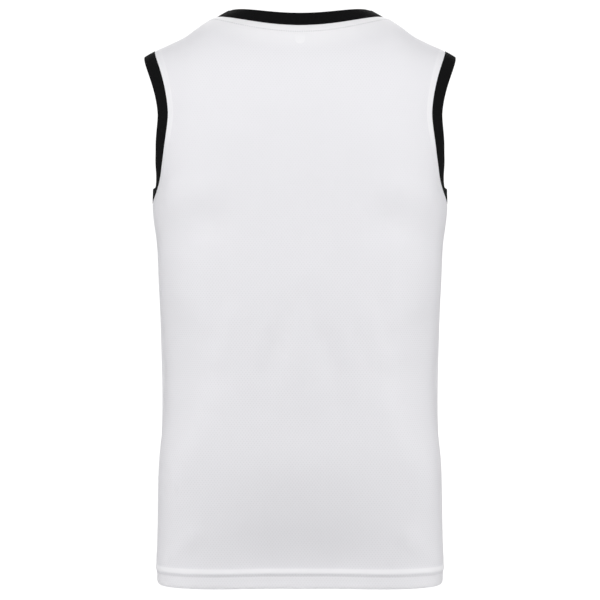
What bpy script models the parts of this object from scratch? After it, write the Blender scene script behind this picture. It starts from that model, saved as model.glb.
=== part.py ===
"""Basketball jersey: a white mesh body with black rib bands, filled out and hollow, as it hangs on a wearer.

Metres, +Z up. The front faces -Y. The origin lies midway between the two high shoulder points, where the
shoulders carry the jersey, so the body hangs below it.
"""

import bisect
import math
from collections import namedtuple

import bmesh
import bpy
import numpy as np
from mathutils import Vector

# Cloth
CLOTH = 0.0015  # wall of the mesh body
HEM_CLOTH = 0.0026  # wall where the hem is turned up inside
SEAM_GAP = 0.0003  # kept between pieces that are sewn together

# Body
UNDERARM = -0.241  # height of the bottom of the armhole, where the side seam ends
BLADE = -0.131  # height of the widest part of the armhole, at the shoulder blades
SHOULDER_TIP = -0.0446  # height of the outer end of the shoulder seam
HEM_HEIGHT = 0.016  # turned-up hem, from the fold to its stitch line
HEM_GROOVE = 0.0006  # depth of the dent that the stitch line pulls in
HEM_GROOVE_WIDTH = 0.0020
HEM_RIDGE = 0.0020  # height of the ridge above the stitch line
HEM_RIDGE_ABOVE = 0.0042  # how far above the stitch line it lies
HEM_RIDGE_WIDTH = 0.0042

# Armholes and neck
ARMHOLE_FLARE = 1.5  # how late the armhole's edge runs out to the shoulder tip: 1 is a straight slope
NECK_HALF_WIDTH = 0.108  # from the centre to the high shoulder point
NECK_CROWN = 0.010  # how far the body's rounding would rise above the high shoulder point, inside the neck
BAND_CLOTH = 0.0022  # rib knit folded double
BAND_PROUD = 0.0004  # how far a band's face stands above the body's
NECKBAND_WIDTH = 0.0185
ARMBAND_WIDTH = 0.0190
ARMBAND_DROOP = 0.05  # how strongly the armband turns down over the end of the shoulder
ARMBAND_NARROWING = 0.20  # share of its width that it loses there, where it is stretched most
NECKBAND_LIFT_BACK = 0.85  # how strongly the neckband stands up at the centre back
NECKBAND_LIFT_SIDE = 0.28  # and at the shoulders; at the centre front it lies on the chest

# Neck label, from its rounded lower end up to the neck seam. A row's level is counted as in row_at.
LABEL_WIDTH = 0.0125
LABEL_CLOTH = 0.0010
LabelRow = namedtuple("LabelRow", "level width_share")
LABEL_ROWS = (
    LabelRow(2.768, 0.45),
    LabelRow(2.778, 0.80),
    LabelRow(2.795, 0.96),
    LabelRow(2.820, 1.00),
    LabelRow(2.890, 1.00),
    LabelRow(2.980, 1.00),
)

# Grid of each panel
HALF_COLUMNS = 18
NECK_COLUMN = 12  # the column, counted from the centre, that ends at the high shoulder point
BODY_ROWS = 17
ARMHOLE_ROWS = 9
SHOULDER_ROWS = 10
SEAM_CROWDING = 1.3  # how much closer the rows come together towards the underarm and the shoulder seam
ARC_STEPS = 240  # points along a section or a neckline that lengths are measured between
COLUMN_CROWDING = 3.0  # the share of the armhole's cut that a column takes, as a power of its place
TOP_PULL = 3.0  # how late the columns turn to their places along the neck and the shoulder seam

# Level sections of the body, from the hem up to the shoulder blades. Above the underarm the half width is
# where the side would be if it had no armhole. A squareness of 2 is an ellipse, and a higher one is squarer.
Section = namedtuple("Section", "height half_width back_depth front_depth squareness")
SECTIONS = (
    Section(-0.7303, 0.1842, 0.1120, 0.1160, 3.6),
    Section(-0.690, 0.1844, 0.1130, 0.1170, 3.5),
    Section(-0.640, 0.1832, 0.1180, 0.1180, 3.6),
    Section(-0.570, 0.1805, 0.1220, 0.1180, 3.6),
    Section(-0.500, 0.1790, 0.1190, 0.1180, 3.1),
    Section(-0.430, 0.1803, 0.1170, 0.1182, 2.6),
    Section(-0.360, 0.1826, 0.1160, 0.1194, 2.5),
    Section(-0.300, 0.1855, 0.1150, 0.1212, 2.5),
    Section(-0.241, 0.1908, 0.1154, 0.1229, 2.5),
    Section(-0.217, 0.1860, 0.1165, 0.1230, 2.5),
    Section(-0.189, 0.1900, 0.1174, 0.1226, 2.5),
    Section(-0.154, 0.1940, 0.1180, 0.1213, 2.5),
    Section(-0.131, 0.1945, 0.1180, 0.1200, 2.5),
)

# The shoulder seam, from the high shoulder point out to the armhole.
Ridge = namedtuple("Ridge", "across height")
SHOULDER_SEAM = (
    Ridge(0.1080, 0.0000),
    Ridge(0.1180, -0.0040),
    Ridge(0.1260, -0.0090),
    Ridge(0.1390, -0.0185),
    Ridge(0.1470, -0.0245),
    Ridge(0.1570, -0.0298),
    Ridge(0.1680, -0.0350),
    Ridge(0.1805, -0.0406),
    Ridge(0.1885, -0.0446),
)

# What differs between the two panels: which way they face, how deep the armhole and the neck are cut, and
# how the neckline curves (1 is a parabola, and less is rounder).
Side = namedtuple("Side", "facing depth armhole_half_depth neck_drop neck_curve")
BACK = Side(1, "back_depth", 0.074, 0.0175, 1.3)
FRONT = Side(-1, "front_depth", 0.078, 0.0950, 0.85)

# The largest folds, as soft ridges (rise above 0) and troughs (below 0) between two places on a panel. The
# back's are the same on both halves. The front's lie where they are given.
Fold = namedtuple("Fold", "from_across from_height to_across to_height breadth rise")
BACK_FOLDS = (
    Fold(0.000, -0.120, 0.000, -0.280, 0.050, -0.0055),  # hollow between the blades and down the spine
    Fold(0.095, -0.165, 0.145, -0.185, 0.040, 0.0030),  # shoulder blade
    Fold(0.155, -0.230, 0.115, -0.225, 0.025, 0.0045),  # fullness below the armhole
    Fold(0.160, -0.285, 0.115, -0.275, 0.028, -0.0040),  # crease under it
    Fold(0.125, -0.300, 0.120, -0.390, 0.020, 0.0030),  # upright fold beside the waist
    Fold(0.161, -0.400, 0.168, -0.460, 0.030, -0.0040),  # hollow at the waist's side
    Fold(0.085, -0.390, 0.102, -0.440, 0.015, 0.0030),  # top of the long slanting fold
    Fold(0.110, -0.500, 0.155, -0.590, 0.020, 0.0025),  # its lower end, down to the hip
    Fold(0.030, -0.420, 0.050, -0.500, 0.018, -0.0020),  # trough on each side of the lower back
    Fold(0.000, -0.570, 0.050, -0.565, 0.035, 0.0020),  # fullness over the seat
    Fold(0.000, -0.700, 0.030, -0.705, 0.070, -0.0130),  # broad hollow above the hem
    Fold(0.172, -0.692, 0.135, -0.665, 0.010, 0.0015),  # drag line from the corner of the hem
)
FRONT_FOLDS = (
    Fold(0.000, -0.150, 0.004, -0.230, 0.035, -0.0030),  # hollow at the middle of the chest
    Fold(-0.168, -0.262, -0.100, -0.276, 0.020, -0.0035),  # creases under the armholes
    Fold(0.172, -0.258, 0.112, -0.268, 0.018, -0.0030),
    Fold(-0.125, -0.300, -0.112, -0.430, 0.020, 0.0030),  # upright folds beside the waist
    Fold(0.118, -0.290, 0.124, -0.410, 0.022, 0.0025),
    Fold(-0.090, -0.430, -0.150, -0.640, 0.018, 0.0035),  # long slanting folds from the waist to the hip
    Fold(0.098, -0.455, 0.158, -0.630, 0.019, 0.0030),
    Fold(0.020, -0.430, 0.048, -0.560, 0.020, -0.0030),  # troughs below the waist
    Fold(-0.034, -0.410, -0.040, -0.520, 0.017, -0.0025),
    Fold(-0.060, -0.690, 0.070, -0.680, 0.028, -0.0025),  # hollow above the hem
)

WHITE = (0.86, 0.86, 0.88, 1.0)
BLACK = (0.012, 0.012, 0.013, 1.0)
LABEL_WHITE = (0.92, 0.92, 0.92, 1.0)


def read_at(table, key, place, column):
    """A column of a table, read between its rows along a smooth curve."""
    places = [getattr(row, key) for row in table]
    values = [getattr(row, column) for row in table]
    place = min(max(place, places[0]), places[-1])
    i = min(bisect.bisect_right(places, place), len(places) - 1) - 1

    def steepness(k):
        return (values[k + 1] - values[k]) / (places[k + 1] - places[k])

    def slope(k):
        if k == 0:
            return steepness(0)
        if k == len(places) - 1:
            return steepness(k - 1)
        before, after = places[k] - places[k - 1], places[k + 1] - places[k]
        return (steepness(k - 1) * after + steepness(k) * before) / (before + after)

    run = places[i + 1] - places[i]
    t = (place - places[i]) / run
    start = values[i] * (1 + 2 * t) * (1 - t) ** 2 + slope(i) * run * t * (1 - t) ** 2
    end = values[i + 1] * t * t * (3 - 2 * t) - slope(i + 1) * run * t * t * (1 - t)
    return start + end


def section_arc(half_width, depth, squareness):
    """Points along a quarter of a section, as how far across each is and its length from the centre."""
    angles = np.linspace(0, math.pi / 2, ARC_STEPS)
    across = half_width * np.sin(angles) ** (2 / squareness)
    out = depth * np.abs(np.cos(angles)) ** (2 / squareness)
    steps = np.hypot(np.diff(across), np.diff(out))
    return across, np.concatenate(([0.0], np.cumsum(steps)))


def ridge_height(across):
    """Height where the body's rounding over the shoulder tops out, also inside the neck."""
    if across >= NECK_HALF_WIDTH:
        return read_at(SHOULDER_SEAM, "across", across, "height")
    return NECK_CROWN * (1 - (across / NECK_HALF_WIDTH) ** 2)


def neck_height(side, across):
    return -side.neck_drop * max(0.0, 1 - (across / NECK_HALF_WIDTH) ** 2) ** side.neck_curve


Row = namedtuple("Row", "side height half_width depth squareness reach rounding arc")


def row_at(side, v):
    """A row of a panel. v is 0 at the hem, 1 at the underarm, 2 at the shoulder blades and 3 at the top."""
    if v <= 1:
        height = SECTIONS[0].height + (UNDERARM - SECTIONS[0].height) * v
    elif v <= 2:
        height = BLADE - (BLADE - UNDERARM) * math.cos((v - 1) * math.pi / 2)
    else:
        height = BLADE + (SHOULDER_TIP - BLADE) * math.sin((v - 2) * math.pi / 2)
    depth = read_at(SECTIONS, "height", height, side.depth)
    squareness = read_at(SECTIONS, "height", height, "squareness")
    cut = side.armhole_half_depth / depth * math.sin(min(max(v - 1, 0), 1) * math.pi / 2)
    reach = (1 - cut**squareness) ** (1 / squareness)
    edge = read_at(SECTIONS, "height", height, "half_width") * reach
    if v > 2:
        climb = (height - BLADE) / (SHOULDER_TIP - BLADE)
        edge += (SHOULDER_SEAM[-1].across - edge) * climb**ARMHOLE_FLARE
    arc = section_arc(edge / reach, depth, squareness)
    return Row(side, height, edge / reach, depth, squareness, reach, max(v - 2, 0), arc)


def section_out(row, across):
    """How far out from the middle plane a row lies at a place across it, before the shoulder's rounding."""
    return row.depth * max(0.0, 1 - (across / row.half_width) ** row.squareness) ** (1 / row.squareness)


def neckline(side):
    """Points along half a neckline, as how far across each is and its length from the centre."""
    row = row_at(side, 3)
    across = NECK_HALF_WIDTH * np.sin(np.linspace(0, math.pi / 2, ARC_STEPS))
    points = []
    for place in across:
        angle = top_angle(side, place)
        points.append(Vector((place, section_out(row, place) * math.cos(angle), neck_height(side, place))))
    steps = [(b - a).length for a, b in zip(points, points[1:])]
    return across, np.concatenate(([0.0], np.cumsum(steps)))


def top_angle(side, across):
    """How far over the shoulder's rounding the cloth's top edge lies: a right angle on the shoulder seam."""
    if across >= NECK_HALF_WIDTH:
        return math.pi / 2
    rise = (neck_height(side, across) - BLADE) / (ridge_height(across) - BLADE)
    return math.asin(min(rise, 1.0))


def top_across(neck_arc, share):
    """How far across a column's top end lies: evenly round the neck, then evenly along the shoulder seam."""
    neck_share = NECK_COLUMN / HALF_COLUMNS
    if share <= neck_share:
        across, lengths = neck_arc
        return float(np.interp(share / neck_share * lengths[-1], lengths, across))
    on_seam = (share - neck_share) / (1 - neck_share)
    return NECK_HALF_WIDTH + (SHOULDER_SEAM[-1].across - NECK_HALF_WIDTH) * on_seam


def row_across(row, share):
    """How far across a row a column lies. Only the outer columns draw in where the armhole cuts the row."""
    across, lengths = row.arc
    cut = float(np.interp(row.half_width * row.reach, across, lengths))
    place = share * lengths[-1] - (lengths[-1] - cut) * share**COLUMN_CROWDING
    return float(np.interp(place, lengths, across))


def fold_rise(folds, across, height):
    rise = 0.0
    for fold in folds:
        run = Vector((fold.to_across - fold.from_across, fold.to_height - fold.from_height))
        here = Vector((across - fold.from_across, height - fold.from_height))
        t = min(max(here.dot(run) / run.length_squared, 0), 1)
        rise += fold.rise * math.exp(-(((here - run * t).length / fold.breadth) ** 2))
    return rise


def hem_rise(above_fold):
    """The ridge above the hem's stitch line and the dent at it."""
    groove = -HEM_GROOVE * math.exp(-(((above_fold - HEM_HEIGHT) / HEM_GROOVE_WIDTH) ** 2))
    ridge = HEM_RIDGE * math.exp(-(((above_fold - HEM_HEIGHT - HEM_RIDGE_ABOVE) / HEM_RIDGE_WIDTH) ** 2))
    return groove + ridge


def panel_point(row, neck_arc, u, inward=0.0):
    """A point of a panel's outer face, or below it. u runs from -1 to 1 across the panel."""
    side = row.side
    share = abs(u)
    top = top_across(neck_arc, share)
    start = row_across(row, share)
    across = start + (top - start) * row.rounding**TOP_PULL
    out = section_out(row, across)
    height = row.height
    angle = top_angle(side, top) * row.rounding
    if row.rounding > 0:
        height = BLADE + (ridge_height(across) - BLADE) * math.sin(angle)
    n = row.squareness
    slope_across = (across / row.half_width) ** (n - 1) / row.half_width
    slope_out = (out / row.depth) ** (n - 1) / row.depth
    level = Vector((slope_across, slope_out, 0)).normalized()
    normal = level * math.cos(angle) + Vector((0, 0, math.sin(angle)))
    if side is BACK:
        rise = fold_rise(BACK_FOLDS, across, height)
    else:
        rise = fold_rise(FRONT_FOLDS, math.copysign(across, u), height)
    rise += hem_rise(height - SECTIONS[0].height) - inward
    point = Vector((across, out * math.cos(angle) + SEAM_GAP / 2, height)) + normal * rise
    point.y = max(point.y, SEAM_GAP / 2)
    return Vector((math.copysign(point.x, u) if u else 0.0, side.facing * point.y, point.z))


def panel_rows(side):
    """The rows of a panel's grid, from the hem up: closer together at the hem and round the armhole."""
    length = UNDERARM - SECTIONS[0].height
    ridge = HEM_HEIGHT + HEM_RIDGE_ABOVE
    hem = (0.0, HEM_HEIGHT / 2, HEM_HEIGHT, ridge, ridge + 2 * HEM_RIDGE_WIDTH)
    levels = [above / length for above in hem]
    start = levels[-1]
    levels += [1 - (1 - start) * (1 - k / BODY_ROWS) ** SEAM_CROWDING for k in range(1, BODY_ROWS + 1)]
    levels += [1 + k / ARMHOLE_ROWS for k in range(1, ARMHOLE_ROWS + 1)]
    levels += [3 - (1 - k / SHOULDER_ROWS) ** SEAM_CROWDING for k in range(1, SHOULDER_ROWS + 1)]
    return [row_at(side, v) for v in levels]


def grid_faces(bm, grid, outward):
    for low, high in zip(grid, grid[1:]):
        for k in range(len(low) - 1):
            corners = [low[k], low[k + 1], high[k + 1], high[k]]
            bm.faces.new(corners if outward else corners[::-1])


def new_object(name, bm, material, collection):
    mesh = bpy.data.meshes.new(name)
    bm.to_mesh(mesh)
    mesh.materials.append(material)
    mesh.shade_smooth()
    thing = bpy.data.objects.new(name, mesh)
    collection.objects.link(thing)
    return thing


def add_wall(thing, thickness, thin_share=1.0):
    """Gives an open surface its thickness, towards the inside. thin_share is the wall outside the hem."""
    wall = thing.modifiers.new("wall", "SOLIDIFY")
    wall.thickness = thickness
    wall.offset = -1
    wall.use_even_offset = True
    if thin_share < 1:
        wall.vertex_group = "hem"
        wall.thickness_vertex_group = thin_share


def make_panel(name, side, material, collection):
    """A body panel and its edge: a list of (point, normal) for each row's end, and for the top row."""
    bm = bmesh.new()
    columns = range(-HALF_COLUMNS, HALF_COLUMNS + 1)
    rows = panel_rows(side)
    neck_arc = neckline(side)
    grid = [[bm.verts.new(panel_point(row, neck_arc, c / HALF_COLUMNS)) for c in columns] for row in rows]
    grid_faces(bm, grid, outward=side is FRONT)
    bm.normal_update()
    hem_rows = sum(1 for row in rows if row.height < SECTIONS[0].height + HEM_HEIGHT + HEM_RIDGE_ABOVE / 2)
    underarm = rows.index(next(row for row in rows if row.height >= UNDERARM - 1e-9))
    first, last = HALF_COLUMNS - NECK_COLUMN, HALF_COLUMNS + NECK_COLUMN
    edges = {
        "right": [(row[0].co.copy(), row[0].normal.copy()) for row in grid[underarm:]],
        "left": [(row[-1].co.copy(), row[-1].normal.copy()) for row in grid[underarm:]],
        "neck": [(v.co.copy(), v.normal.copy()) for v in grid[-1][first : last + 1]],
    }
    bm.verts.index_update()
    hem_points = [v.index for row in grid[:hem_rows] for v in row]
    thing = new_object(name, bm, material, collection)
    bm.free()
    thing.vertex_groups.new(name="hem").add(hem_points, 1.0, "REPLACE")
    add_wall(thing, HEM_CLOTH, CLOTH / HEM_CLOTH)
    return edges


def joined_edges(one, other):
    """The edges of both panels round an opening, as one closed ring that starts where they first meet."""

    def meet(a, b):
        return (a[0] + b[0]) / 2, (a[1] + b[1]).normalized()

    return [meet(one[0], other[0])] + one[1:-1] + [meet(one[-1], other[-1])] + other[-2:0:-1]


def band_section(width, gap):
    """Half-round free edge and square sewn edge, as (distance from the seam, height above the face)."""
    top, bottom = BAND_PROUD, BAND_PROUD - BAND_CLOTH
    middle, radius = (top + bottom) / 2, BAND_CLOTH / 2
    stops = (gap, width * 0.35, width * 0.7)
    section = [(along, top) for along in stops]
    for step in range(5):
        angle = math.pi / 2 - math.pi * step / 4
        section.append((width - radius + radius * math.cos(angle), middle + radius * math.sin(angle)))
    return section + [(along, bottom) for along in reversed(stops)]


def make_band(name, ring, width, lift, material, collection):
    """A folded rib band that goes on from the cloth's edge, towards the middle of the opening."""
    centre = sum((point for point, _ in ring), Vector()) / len(ring)
    bm = bmesh.new()
    loops = []
    for k, (point, normal) in enumerate(ring):
        run = (ring[(k + 1) % len(ring)][0] - ring[k - 1][0]).normalized()
        reach = run.cross(normal).normalized()
        if reach.dot(centre - point) < 0:
            reach.negate()
        reach += Vector((0, 0, lift(point)))
        reach = (reach - run * reach.dot(run)).normalized()
        up = reach.cross(run).normalized()
        if up.dot(normal) < 0:
            up.negate()
        # Where the band turns down over the seam, its inner edge would swing into the cloth.
        swing = max(0.0, -reach.dot(normal)) * (BAND_CLOTH - BAND_PROUD)
        section = band_section(width(point), SEAM_GAP + swing)
        loops.append([bm.verts.new(point + reach * along + up * high) for along, high in section])
    for a, b in zip(loops, loops[1:] + loops[:1]):
        for k in range(len(a)):
            m = (k + 1) % len(a)
            bm.faces.new((a[k], a[m], b[m], b[k]))
    bmesh.ops.recalc_face_normals(bm, faces=bm.faces)
    thing = new_object(name, bm, material, collection)
    thing.data.set_sharp_from_angle(angle=math.radians(60))
    bm.free()


def neckband_width(point):
    return NECKBAND_WIDTH


def neckband_lift(back_reach, front_reach):
    """How strongly the neckband stands up at a point, from its place between the shoulders and the centre."""

    def lift(point):
        if point.y > 0:
            rise = NECKBAND_LIFT_BACK - NECKBAND_LIFT_SIDE
            return NECKBAND_LIFT_SIDE + rise * (point.y / back_reach) ** 2
        return NECKBAND_LIFT_SIDE * (1 - (point.y / front_reach) ** 2)

    return lift


def shoulder_share(point):
    """How near a point of the armhole is to the end of the shoulder: 1 there, and 0 from the blades down."""
    return max(0.0, (point.z - BLADE) / (SHOULDER_TIP - BLADE)) ** 3


def armband_lift(point):
    """An armband stands straight out from the cloth, but droops at the end of the shoulder."""
    return -ARMBAND_DROOP * shoulder_share(point)


def armband_width(point):
    return ARMBAND_WIDTH * (1 - ARMBAND_NARROWING * shoulder_share(point))


def make_label(material, collection):
    """A small label that hangs inside the back neck, made from the back panel's points, moved inward."""
    bm = bmesh.new()
    inward = CLOTH + SEAM_GAP
    neck_arc = neckline(BACK)
    first_column = 1 / HALF_COLUMNS
    grid = []
    for level, width_share in LABEL_ROWS:
        row = row_at(BACK, level)
        column_width = panel_point(row, neck_arc, first_column, inward).x
        half = LABEL_WIDTH / 2 * width_share / column_width * first_column
        places = (-half, -half / 2, 0, half / 2, half)
        grid.append([bm.verts.new(panel_point(row, neck_arc, u, inward)) for u in places])
    grid_faces(bm, grid, outward=False)
    thing = new_object("neck_label", bm, material, collection)
    bm.free()
    add_wall(thing, LABEL_CLOTH)


def make_material(name, colour, roughness):
    material = bpy.data.materials.new(name)
    material.use_nodes = True
    shader = material.node_tree.nodes["Principled BSDF"]
    shader.inputs["Base Color"].default_value = colour
    shader.inputs["Roughness"].default_value = roughness
    shader.inputs["Metallic"].default_value = 0.0
    return material


def main():
    for thing in list(bpy.data.objects):
        bpy.data.objects.remove(thing, do_unlink=True)
    collection = bpy.data.collections.new("basketball_jersey")
    bpy.context.scene.collection.children.link(collection)

    back = make_panel("back", BACK, make_material("back_mesh", WHITE, 0.75), collection)
    front = make_panel("front", FRONT, make_material("front_mesh", WHITE, 0.75), collection)
    for hand in ("left", "right"):
        ring = joined_edges(back[hand], front[hand])
        rib = make_material(f"armband_{hand}_rib", BLACK, 0.85)
        make_band(f"armband_{hand}", ring, armband_width, armband_lift, rib, collection)
    ring = joined_edges(back["neck"], front["neck"])
    lift = neckband_lift(max(p.y for p, _ in ring), min(p.y for p, _ in ring))
    make_band("neckband", ring, neckband_width, lift, make_material("neckband_rib", BLACK, 0.85), collection)
    make_label(make_material("label_satin", LABEL_WHITE, 0.5), collection)


main()
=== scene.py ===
"""Basketball jersey: white eyelet mesh with black rib bands, filled out and hollow, as it hangs on a wearer.

Metres, +Z up. The front faces -Y, and the origin lies midway between the two high shoulder points.
"""

import math
from collections import namedtuple

import bmesh
import bpy
import numpy as np
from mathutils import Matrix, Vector
from mathutils.bvhtree import BVHTree


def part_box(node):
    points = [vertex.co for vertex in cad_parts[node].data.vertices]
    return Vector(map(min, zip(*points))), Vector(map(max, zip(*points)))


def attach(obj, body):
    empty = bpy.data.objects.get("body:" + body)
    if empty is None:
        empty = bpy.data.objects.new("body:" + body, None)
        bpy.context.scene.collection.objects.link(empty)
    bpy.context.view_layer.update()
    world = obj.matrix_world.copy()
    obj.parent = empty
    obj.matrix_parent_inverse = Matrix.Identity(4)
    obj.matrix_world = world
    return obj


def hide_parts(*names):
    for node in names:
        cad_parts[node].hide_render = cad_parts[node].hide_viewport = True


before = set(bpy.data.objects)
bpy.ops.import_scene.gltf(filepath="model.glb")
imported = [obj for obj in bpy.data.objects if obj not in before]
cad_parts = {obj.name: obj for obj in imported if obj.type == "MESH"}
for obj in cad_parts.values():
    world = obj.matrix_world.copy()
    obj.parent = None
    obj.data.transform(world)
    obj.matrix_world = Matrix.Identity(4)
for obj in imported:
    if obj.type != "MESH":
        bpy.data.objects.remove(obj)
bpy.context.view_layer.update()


# Back panel
# One piece of white polyester mesh from the shoulders to the hem, filled out by the body that wears it. The
# hem is folded up inside and stitched down, and the side and shoulder edges are overlocked to the front.

UNDERARM = -0.241  # bottom of the armhole, where the side seam ends
BLADE = -0.131  # widest part of the armhole
SHOULDER_TIP = -0.0446  # outer end of the shoulder seam
ARMHOLE_FLARE = 1.5  # how late the armhole's edge runs out to the shoulder tip
NECK_HALF_WIDTH = 0.108
NECK_CROWN = 0.010  # how far the shoulders' rounding would rise inside the neck
COLUMN_CROWDING = 3.0  # how late a column gives way to the armhole
TOP_PULL = 3.0  # how late a column turns to its place on the neck or the shoulder seam
NECK_SHARE = 2 / 3  # share of the columns that end on the neck
ARC_STEPS = 400

CLOTH = 0.0008
HEM_HEIGHT = 0.016
HEM_FOLD = 0.0019  # depth of the two layers at the fold
HEM_GROOVE = 0.0008
HEM_GROOVE_WIDTH = 0.0020
HEM_GROOVE_LOSS = 0.6  # share of its depth that it loses towards the side seams
HEM_GROOVE_LOSS_FROM = 0.09
HEM_GROOVE_LOSS_OVER = 0.06
HEM_RIDGE = 0.0026
HEM_RIDGE_ABOVE = 0.0042  # how far above the stitch line it lies
HEM_RIDGE_WIDTH = 0.0042
HEM_RIDGE_LOSS = 0.85  # share of its height that it loses at the side seams
HEM_RIDGE_LOSS_OVER = 0.055
HEM_CURL = 0.0016  # how far the fold curls inwards
HEM_CURL_HEIGHT = 0.0045
SEAM_VALLEY = 0.0007
SEAM_VALLEY_WIDTH = 0.0016
SEAM_EASE = 0.010  # folds fade out this close to a seam
ALLOWANCE = 0.010  # turned-under cloth along the armholes
NECK_ALLOWANCE = 0.013
ALLOWANCE_LIFT = 0.0003
ALLOWANCE_STEP = 0.0008  # breadth of the step at its inner edge
STITCH_SINK = 0.0003  # how far a row of stitches pulls the cloth in
STITCH_SINK_WIDTH = 0.0008

# Rows and columns of the cloth's grid. They lie closest where the cloth turns or is sewn.
FOLD_ROWS = 9  # round the hem's fold
HEM_INSIDE = (HEM_HEIGHT, 0.013, 0.009, 0.006, 0.003)  # above the fold, on the inner layer
HEM_OUTSIDE = (0.001, 0.002, 0.003, 0.0045, 0.007, 0.010)
BELOW_STITCHES = (-0.004, -0.003, -0.002, -0.001, 0.0)  # from the hem's row of stitches
ABOVE_STITCHES = (0.001, 0.002, 0.003, 0.004, 0.005, 0.006, 0.0075, 0.009, 0.011, 0.014)
BODY_ROWS = 124  # from there to the underarm
ARMHOLE_ROWS = 34  # underarm to blades, and as many from the blades up
TOP_LENGTH = 0.150  # of a column, from the blades to the top edge
BELOW_TOP = (0.0170, 0.0145, 0.0135, 0.0125, 0.0105, 0.0080, 0.0055, 0.003, 0.0018, 0.0008, 0)
HALF_COLUMNS = 72  # from the middle to near the side
HALF_LENGTH = 0.27  # of a row, from the middle to the side
BESIDE_SIDE = (0.0135, 0.0105, 0.0078, 0.0055, 0.0038, 0.0026, 0.0016, 0.0008, 0)

Section = namedtuple("Section", "height half_width back_depth front_depth squareness")
SECTIONS = (
    Section(-0.7303, 0.1842, 0.1120, 0.1160, 3.6),
    Section(-0.690, 0.1844, 0.1130, 0.1170, 3.5),
    Section(-0.640, 0.1832, 0.1180, 0.1180, 3.6),
    Section(-0.570, 0.1805, 0.1220, 0.1180, 3.6),
    Section(-0.500, 0.1790, 0.1190, 0.1180, 2.8),
    Section(-0.430, 0.1803, 0.1170, 0.1182, 2.3),
    Section(-0.360, 0.1826, 0.1160, 0.1194, 2.4),
    Section(-0.300, 0.1855, 0.1150, 0.1212, 2.5),
    Section(-0.241, 0.1908, 0.1154, 0.1229, 2.5),
    Section(-0.217, 0.1880, 0.1165, 0.1230, 2.5),
    Section(-0.189, 0.1920, 0.1174, 0.1226, 2.5),
    Section(-0.154, 0.1947, 0.1180, 0.1213, 2.5),
    Section(-0.131, 0.1945, 0.1180, 0.1200, 2.5),
)
HEM = SECTIONS[0].height

Ridge = namedtuple("Ridge", "across height")
SHOULDER_SEAM = (
    Ridge(0.1080, 0.0000),
    Ridge(0.1180, -0.0040),
    Ridge(0.1260, -0.0090),
    Ridge(0.1390, -0.0185),
    Ridge(0.1470, -0.0245),
    Ridge(0.1570, -0.0298),
    Ridge(0.1680, -0.0350),
    Ridge(0.1805, -0.0406),
    Ridge(0.1885, -0.0446),
)

Side = namedtuple("Side", "facing depth armhole_half_depth neck_drop neck_curve")
BACK = Side(1, "back_depth", 0.074, 0.0175, 1.3)

# Soft ridges and troughs between two places on the panel, the same on both halves.
Fold = namedtuple("Fold", "from_across from_height to_across to_height breadth rise")
BACK_FOLDS = (
    Fold(0.000, -0.120, 0.000, -0.280, 0.050, -0.0055),  # hollow between the blades and down the spine
    Fold(0.095, -0.165, 0.145, -0.185, 0.040, 0.0030),  # shoulder blade
    Fold(0.155, -0.230, 0.115, -0.225, 0.025, 0.0045),  # fullness below the armhole
    Fold(0.160, -0.285, 0.115, -0.275, 0.028, -0.0040),  # crease under it
    Fold(0.125, -0.300, 0.120, -0.390, 0.020, 0.0030),  # upright fold beside the waist
    Fold(0.161, -0.400, 0.168, -0.460, 0.030, -0.0040),  # hollow at the waist's side
    Fold(0.085, -0.390, 0.102, -0.440, 0.015, 0.0030),  # top of the long slanting fold
    Fold(0.110, -0.500, 0.155, -0.590, 0.020, 0.0025),  # its lower end, down to the hip
    Fold(0.030, -0.420, 0.050, -0.500, 0.018, -0.0020),  # trough on each side of the lower back
    Fold(0.000, -0.575, 0.040, -0.570, 0.035, 0.0030),  # fullness over the seat
    Fold(0.000, -0.700, 0.030, -0.705, 0.062, -0.0180),  # broad hollow above the hem
    Fold(0.172, -0.700, 0.135, -0.665, 0.012, 0.0025),  # drag line from the corner of the hem
    Fold(0.005, -0.365, 0.045, -0.455, 0.016, -0.0020),  # crease that spreads from the waist
    Fold(0.160, -0.575, 0.160, -0.620, 0.018, 0.0025),  # upright fold on the hip
    Fold(0.145, -0.465, 0.160, -0.510, 0.030, -0.0050),  # dip beside the slanting fold
    Fold(0.150, -0.320, 0.150, -0.380, 0.015, 0.0015),  # beside the upright fold
    Fold(0.190, -0.190, 0.190, -0.225, 0.018, -0.0025),  # drawn in beside the lower armhole
)


def read_at(table, key, place, column):
    """A column of a table, read between its rows along a smooth curve, at one place or many."""
    places = np.array([getattr(row, key) for row in table])
    values = np.array([getattr(row, column) for row in table])
    gaps = np.diff(places)
    steep = np.diff(values) / gaps
    inner = (steep[:-1] * gaps[1:] + steep[1:] * gaps[:-1]) / (gaps[:-1] + gaps[1:])
    slopes = np.concatenate((steep[:1], inner, steep[-1:]))
    place = np.clip(place, places[0], places[-1])
    i = np.clip(np.searchsorted(places, place, side="right") - 1, 0, len(gaps) - 1)
    t = (place - places[i]) / gaps[i]
    start = values[i] * (1 + 2 * t) * (1 - t) ** 2 + slopes[i] * gaps[i] * t * (1 - t) ** 2
    end = values[i + 1] * t * t * (3 - 2 * t) - slopes[i + 1] * gaps[i] * t * t * (1 - t)
    return start + end


def ridge_height(across):
    """Height where the rounding over the shoulder tops out, also inside the neck."""
    inside = NECK_CROWN * (1 - (across / NECK_HALF_WIDTH) ** 2)
    outside = read_at(SHOULDER_SEAM, "across", across, "height")
    return np.where(across < NECK_HALF_WIDTH, inside, outside)


def neck_height(side, across):
    return -side.neck_drop * np.maximum(0.0, 1 - (across / NECK_HALF_WIDTH) ** 2) ** side.neck_curve


Row = namedtuple("Row", "height half_width depth squareness reach rounding arc_across arc_length")


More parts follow.
